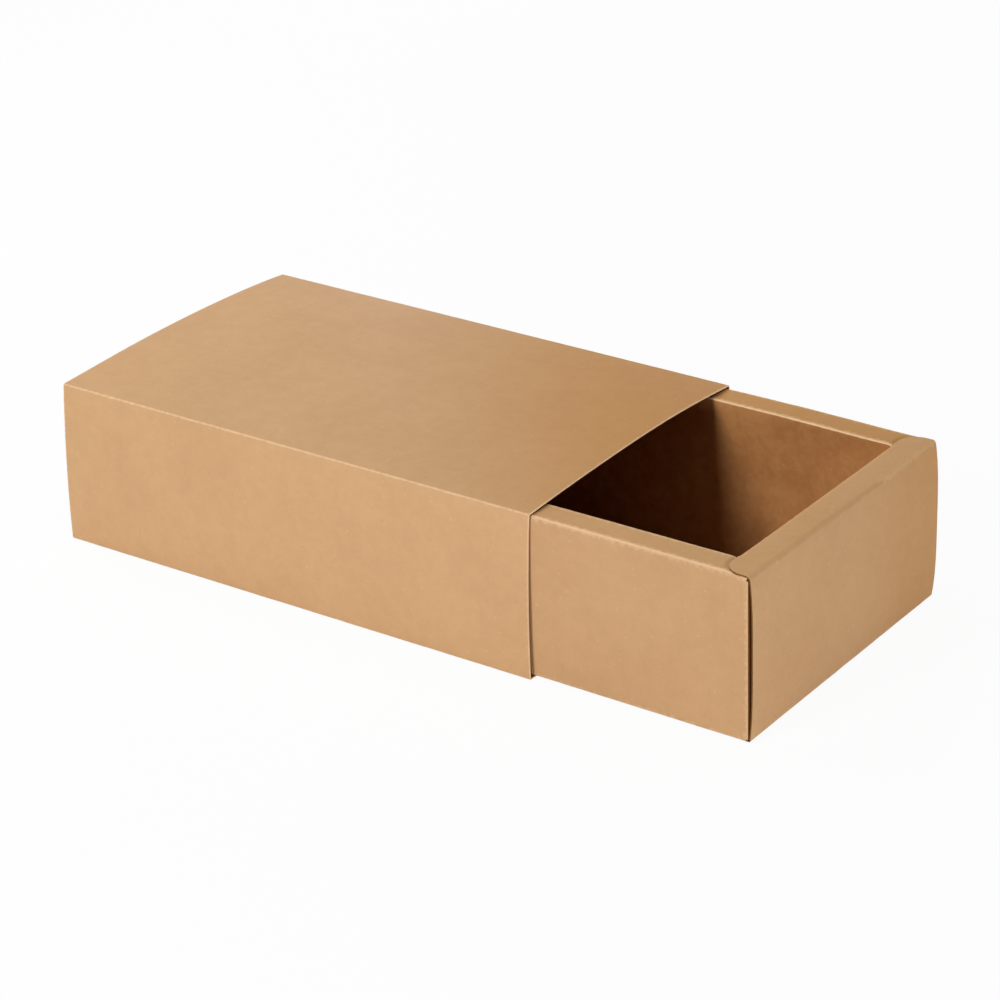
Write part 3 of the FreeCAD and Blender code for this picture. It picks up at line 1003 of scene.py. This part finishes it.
# %% Shape of the tray's sides
half_floor_across, half_floor_run = (
    Span(-half, half, plain_fold, plain_fold).developed() / 2 for half in (tray_side, tray_half_length)
)
rim_rise, rim_spread = 0.37 * mm, 0.5 * mm
ear_rise, step_rise = 0.2 * mm, 0.08 * mm
ear_radius = 7 * mm
ear_step = 1.2 * mm
free_stretch = 50 * mm
still_height = 20 * mm
wall_bow = 0.9 * mm
ear_edge = tray_half_length - rim_width

# Close rows in whole mm: where an ear ends, and across a rim from its outer crease. The last of them
# stays a little away from the end of its span.
ear_rows, rim_rows = range(-3, 9), range(2, 10)
last_row = 0.3 * mm
wall_ripple, lining_ripple = 0.2 * mm, 0.25 * mm


def wall_bulge(r):
    """The bow of an outer side wall, which the upright creases at its ends hold back."""
    return wall_bow * eased((corner_crease - abs(r)) / free_stretch)


def ear_reach(y):
    """The ears end in a rounded corner: the distance of their edge from the middle of the tray, along it."""
    inward = min(ear_radius, max(0.0, abs(y) - (end_half_width - ear_radius)))
    return ear_edge + ear_radius - math.sqrt(ear_radius * ear_radius - inward * inward)


def settled(side, point):
    """Lets the top of a side stand up and out, level with the ears at its ends and higher between them."""
    from_ear = ear_reach(point.y) - abs(point.x - tray_middle)
    height = eased((point.z - still_height) / (side_rim_top - still_height))
    freedom = eased(from_ear / free_stretch)
    rise = (end_rim_top - side_rim_top + step_rise) * eased(from_ear / ear_step) + rim_rise * freedom
    return point + height * Vector((0, side * rim_spread * freedom, rise))


def rows_at_ears(end):
    """Places for close rows where the ears end, as far as they lie on a span that stops at this end."""
    places = [ear_edge + row * mm for row in ear_rows if ear_edge + row * mm < end - last_row]
    return [-place for place in reversed(places)] + places


middle = settled(right, Vector((tray_middle, tray_side, side_rim_top)))
print("middle of a side: mm up", round((middle.z - side_rim_top) / mm, 2), "and out",
      round((middle.y - tray_side) / mm, 2))


# %% Sides of the tray
def tray_piece(node, *patches, materials=tray_materials):
    """A piece of the tray, of one or more patches."""
    piece = CardPiece()
    for patch in patches:
        piece.patch(**patch)
    piece.finished(node, "drawer", materials)


def tray_side_pieces(side, word):
    """Outer wall, rim, lining and foot of one side."""
    outer_foot, crest, inner_crest, lining_foot = (tray_creases[side, place] for place in side_folds)
    inner_side = tray_side - rim_width
    wall = Span(tray_underside, side_rim_top, outer_foot, crest)
    rim = Span(0, rim_width, crest, inner_crest, breaks=[row * mm for row in rim_rows])
    lining = Span(0, side_rim_top - tray_floor_top, inner_crest, lining_foot)
    foot = Span(0, -low("tray_left_foot").y - inner_side, lining_foot)
    wall_run = Span(-corner_crease, corner_crease, corner_creases[back, side], corner_creases[front, side],
                    breaks=rows_at_ears(corner_crease - fold))
    rim_run = Span(-side_rim_half_run, side_rim_half_run, breaks=rows_at_ears(side_rim_half_run))
    lining_run = Span(-side_lining_half_run, side_lining_half_run, breaks=rows_at_ears(side_lining_half_run))
    start = half_floor_across
    for part, across, run, place, lift, materials in (
        ("wall", wall, wall_run, lambda a, out: (tray_side + out, a),
         swelling(wall, wall_run, bow=wall_bulge, ripple=wall_ripple, seed=10 + side), tray_materials),
        ("rim", rim, rim_run, lambda a, out: (tray_side - a, side_rim_top + out), None, rim_materials),
        ("lining", lining, lining_run, lambda a, out: (inner_side - out, side_rim_top - a),
         swelling(lining, lining_run, ripple=lining_ripple, seed=20 + side), lining_materials),
        ("foot", foot, lining_run, lambda a, out: (inner_side + a, tray_floor_top - out), None,
         tray_materials),
    ):
        half_run = run.developed() / 2

        def placed(a, r, out, place=place):
            outward, height = place(a, out)
            return settled(side, Vector((tray_middle + r, side * outward, height)))

        def blank(a, r, start=start, half_run=half_run):
            return side * (start + a), r - half_run

        patch = dict(across=across, run=run, place=placed, blank=blank, lift=lift)
        tray_piece(f"tray_{word}_{part}", patch, materials=materials)
        start += across.developed()


tray_side_pieces(left, "left")
tray_side_pieces(right, "right")

# %% [markdown]
# ## The tray's ends
#
# The front and back walls are separate strips of the same blank. Each bows outwards between its creases.
# Its rim is folded flat over the two sides: the middle of the rim goes on down as the lining, and the
# ends of the rim stay flat and lie on the sides as ears with a rounded corner. Two tabs under the lining
# drop into slots in the floor and lock the tray. The lock holds the middle of an end, and `sprung` lifts
# its two corners a little, as the sides below the ears do.

# %% Shape of the tray's ends
tab_half_length = 12 * mm
tab_middle = 25 * mm
slot_play = 0.5 * mm
end_inner_fold = 0.6 * mm
ear_join = rim_width - end_inner_fold
still_middle = 30 * mm
least_end_bow, added_end_bow = 0.7, 0.26
end_squareness = 3.6
end_ripple = 0.15 * mm


def end_inner_crest(run):
    return end_inner_fold


def rounded_corner(a, r):
    """Moves the rows near an ear's free corner in, so that the corner is round."""
    from_a = a - (rim_width - ear_radius)
    from_r = abs(r) - (end_half_width - ear_radius)
    if from_a <= 0 or from_r <= 0:
        return a, r
    shrink = max(from_a, from_r) / math.hypot(from_a, from_r)
    return (
        rim_width - ear_radius + from_a * shrink,
        math.copysign(end_half_width - ear_radius + from_r * shrink, r),
    )


def sprung(point):
    """Lifts the ends of an end wall and its ears a little, as the folded sides below them do."""
    outward = eased((abs(point.y) - still_middle) / (end_half_width - still_middle))
    height = eased((point.z - still_height) / (end_rim_top - still_height))
    return point + Vector((0, 0, ear_rise * outward * height))


def near_tab(r, play=0.0):
    return abs(abs(r) - tab_middle) < tab_half_length + play


def end_wall_bow(y):
    """The bow of an end wall: a little less at its left edge."""
    return end_bow * (least_end_bow + added_end_bow * eased((y + end_half_width) / free_stretch))


end_bows = [round(end_wall_bow(y) / mm, 2) for y in (-end_half_width, 0, end_half_width)]
print("bow of an end wall at its left, middle and right, mm:", end_bows)


# %% Ends of the tray
def tray_end_pieces(end, word):
    """Outer wall, rim with its ears, and lining with its tabs, of one end."""
    crest = end_crest_creases[end]
    wall = Span(tray_underside, end_rim_top, end_foot_creases[end], crest)
    wall_run = Span(-end_half_width, end_half_width,
                    breaks=(-end_lining_half_width, end_lining_half_width))
    wall_start = half_floor_run
    half_wall = wall_run.developed() / 2
    tray_piece(f"tray_{word}_wall", dict(
        across=wall, run=wall_run,
        place=lambda a, r, out: sprung(Vector((tray_middle + end * (tray_half_length + out), r, a))),
        blank=lambda a, r: (r - half_wall, end * (wall_start + a)),
        lift=swelling(wall, wall_run, bow=end_wall_bow, ripple=end_ripple, seed=30 + end,
                      squareness=end_squareness),
    ))

    def on_rim(a, r, out):
        return sprung(Vector((tray_middle + end * (tray_half_length - a), r, end_rim_top + out)))

    rim_start = wall_start + wall.developed()
    tongue_run = Span(-end_lining_half_width, end_lining_half_width)
    rim_parts = [dict(
        across=Span(0, rim_width, crest, end_inner_crest), run=tongue_run, place=on_rim,
        blank=lambda a, r: (r - end_lining_half_width, end * (rim_start + a)),
    )]
    for low_side, high_side in (
        (-end_half_width, -end_lining_half_width), (end_lining_half_width, end_half_width),
    ):
        rim_parts.append(dict(
            across=Span(0, rim_width, crest, breaks=(ear_join,)), run=Span(low_side, high_side),
            place=on_rim, trim=rounded_corner,
            blank=lambda a, r, low_side=low_side: (low_side + r, end * (rim_start + a)),
        ))
    tray_piece(f"tray_{word}_rim", *rim_parts, materials=end_rim_materials)

    lining_start = rim_start + rim_width - 2 * fold * (1 - quarter_turn)
    tab_edges = [sign * tab_middle + way * tab_half_length for sign in (-1, 1) for way in (-1, 1)]
    lining = Span(0, end_rim_top - tray_underside, end_inner_crest, breaks=(end_rim_top - tray_floor_top,))
    lining_run = Span(-end_lining_half_width, end_lining_half_width, breaks=tab_edges)
    tray_piece(f"tray_{word}_lining", dict(
        across=lining, run=lining_run,
        place=lambda a, r, out: sprung(Vector(
            (tray_middle + end * (tray_half_length - rim_width - out), r, end_rim_top - a))),
        blank=lambda a, r: (r - end_lining_half_width, end * (lining_start + a)),
        keep=lambda a, r: a < end_rim_top - tray_floor_top or near_tab(r),
    ), materials=lining_materials)


tray_end_pieces(back, "back")
tray_end_pieces(front, "front")

# %% [markdown]
# ## The floor and the corner flaps
#
# The floor is creased along all four sides and has a slot for every lock tab. The corner flaps carry on from
# the side walls, turn the corner and stand behind the end walls. They hardly show, but the dark slit at each
# corner of the tray is the gap between a flap and the bowed end wall, and the flaps' card is painted nearly
# black as painted shade in that slit.

# %% Floor of the tray
lining_plane = tray_half_length - rim_width
slot_play_across = 0.1 * mm
slot_low, slot_high = lining_plane - slot_play_across, lining_plane + card + slot_play_across
slot_ends = sorted(
    sign * tab_middle + way * (tab_half_length + slot_play) for sign in (-1, 1) for way in (-1, 1)
)
tray_piece("tray_floor", dict(
    across=Span(-tray_side, tray_side, tray_creases[left, "foot"], tray_creases[right, "foot"],
                breaks=slot_ends),
    run=Span(-tray_half_length, tray_half_length, end_foot_creases[back], end_foot_creases[front],
             breaks=(-slot_high, -slot_low, slot_low, slot_high)),
    place=lambda a, r, out: Vector((tray_middle + r, a, tray_underside - out)),
    blank=lambda a, r: (a - half_floor_across, r - half_floor_run),
    keep=lambda a, r: not (slot_low < abs(r) < slot_high and near_tab(a, slot_play)),
))


# %% Corner flaps of the tray
flap_lean = 1.6 * mm
flap_lean_start, flap_lean_reach = 1 * mm, 9 * mm


def leaning(a):
    """How far a flap has sprung back behind the end wall, at this distance from its corner."""
    return flap_lean * eased((a - flap_lean_start) / flap_lean_reach)


def corner_flap(end, side, node):
    run = Span(low(node).z, high(node).z)
    tray_piece(node, dict(
        across=Span(0, tray_side + high("tray_front_left_flap").y, corner_creases[end, side]), run=run,
        place=lambda a, r, out: Vector(
            (tray_middle + end * (corner_crease + out - leaning(a)), side * (tray_side - a), r)),
        blank=lambda a, r: (side * (half_floor_across + r), end * (half_floor_run + a)),
    ), materials=flap_painted_shade_materials)


for end, end_word in ((front, "front"), (back, "back")):
    for side, side_word in ((left, "left"), (right, "right")):
        corner_flap(end, side, f"tray_{end_word}_{side_word}_flap")

# %% [markdown]
# ## The glue
#
# The dried film of glue lies between the flap and the right panel. Only its end shows, a little way
# inside the sleeve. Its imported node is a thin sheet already, so it stays and only gets a finish: clouded,
# slightly yellow and glossier than the card.

# %% Glue film
thick_glue, thin_glue = (0.62, 0.50, 0.30, 1), (0.80, 0.73, 0.55, 1)
glue_relief = 0.05 * mm
glue_cloud_scale = 160.0
glue_material, tree, surface = new_material("dried_glue")
glue_place = add_node(tree, "ShaderNodeTexCoord").outputs["Object"]
clouds = cloudy_noise(tree, glue_place, glue_cloud_scale, 4.0)
glue_colour = mixed(tree, clear(tree, clouds), thick_glue, thin_glue)
dress(tree, surface, glue_colour, remap(tree, clouds, 0.2, 0.8, 0.25, 0.5), clouds, glue_relief)
glue_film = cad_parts["sleeve_glue_film"]
glue_film.data.materials.clear()
glue_film.data.materials.append(glue_material)
print("glue film keeps its packed mesh of", len(glue_film.data.vertices), "vertices")

# %% [markdown]
# ## Floor and light
#
# A plain pale floor carries the shadow. To a camera ray, and to a ray that a glossy or clear surface
# sends on, it is nearly white, so the box stands on white, while the light it throws back on the box stays
# that of ordinary pale paper.

# %% Studio floor
floor_half = 3.0
floor_drop = 0.05 * mm
glow_share = 0.95
white, pale_paper = (1, 1, 1, 1), (0.8, 0.8, 0.8, 1)
floor_mesh = bpy.data.meshes.new("studio_floor")
floor_mesh.from_pydata(
    [(x * floor_half, y * floor_half, -floor_drop) for x, y in ((-1, -1), (1, -1), (1, 1), (-1, 1))],
    [], [(0, 1, 2, 3)],
)
floor = bpy.data.objects.new("studio_floor", floor_mesh)
bpy.context.scene.collection.objects.link(floor)


def seen_directly(tree):
    """1 for a ray from the camera, or one sent on by a glossy or clear surface."""
    path = add_node(tree, "ShaderNodeLightPath").outputs
    seen = maths(tree, "MAXIMUM", path["Is Camera Ray"], path["Is Glossy Ray"])
    return maths(tree, "MAXIMUM", seen, path["Is Transmission Ray"])


floor_material = bpy.data.materials.new("pale_floor")
floor_material.use_nodes = True
tree = floor_material.node_tree
tree.nodes.clear()
plain = add_node(tree, "ShaderNodeBsdfDiffuse", {"Color": pale_paper}).outputs[0]
glow = add_node(tree, "ShaderNodeEmission", {"Color": white, "Strength": 1.0}).outputs[0]
share = times(tree, seen_directly(tree), glow_share)
both = add_node(tree, "ShaderNodeMixShader", {0: share, 1: plain, 2: glow}).outputs[0]
add_node(tree, "ShaderNodeOutputMaterial", {"Surface": both})
floor_mesh.materials.append(floor_material)
print("floor of", 2 * floor_half, "m,", floor_drop / mm, "mm below the sleeve")

# %% Room light
room_strength = 0.025
world = bpy.data.worlds.new("studio")
bpy.context.scene.world = world
world.use_nodes = True
tree = world.node_tree
tree.nodes.clear()
room, backdrop = (
    add_node(tree, "ShaderNodeBackground", {"Color": white, "Strength": strength}).outputs[0]
    for strength in (room_strength, 1.0)
)
both = add_node(tree, "ShaderNodeMixShader", {0: seen_directly(tree), 1: room, 2: backdrop}).outputs[0]
add_node(tree, "ShaderNodeOutputWorld", {"Surface": both})
print("room light of strength", room_strength)

# %% [markdown]
# ## Lamps
#
# One broad softbox gives most of the light, nearly square to the long left side. A second one at the
# back left lights the top. Two low, flat strips light the pulled-out end without shining down into the
# tray, where a deep shadow has to stay, and a steep one reaches only the far lining. The weak light from
# behind keeps the hidden sides readable.

# %% Soft lamps
box_middle = Vector(((cad_low.x + cad_high.x) / 2, 0, sleeve_top / 2))


def soft_lamp(name, azimuth, elevation, distance, width, height, power):
    """A rectangular lamp that faces the box. Angles are in degrees, lengths in m and power in W."""
    turn, rise = math.radians(azimuth), math.radians(elevation)
    heading = Vector((math.sin(turn) * math.cos(rise), -math.cos(turn) * math.cos(rise), math.sin(rise)))
    data = bpy.data.lights.new(name, "AREA")
    data.shape = "RECTANGLE"
    data.size, data.size_y = width, height
    data.energy = power
    lamp = bpy.data.objects.new(name, data)
    lamp.location = box_middle + heading * distance
    lamp.rotation_euler = (lamp.location - box_middle).to_track_quat("Z", "Y").to_euler()
    bpy.context.scene.collection.objects.link(lamp)


soft_lamp("key_softbox", -8, 30, 1.3, 0.35, 0.35, 10.5)
soft_lamp("left_softbox", -90, 45, 0.9, 0.5, 0.5, 4.4)
soft_lamp("right_strip", 60, 2, 0.8, 0.4, 0.08, 1.5)
soft_lamp("end_strip", 95, 3, 1.3, 0.5, 0.1, 4.5)
soft_lamp("end_softbox", 90, 65, 1.3, 0.5, 0.5, 2.0)
soft_lamp("fill_softbox", 36, 26, 1.3, 0.5, 0.5, 0.08)
soft_lamp("back_softbox", 210, 10, 1.3, 0.6, 0.6, 6.6)
print("lamps:", len(bpy.data.lights))

bpy.context.scene.view_settings.view_transform = "Standard"
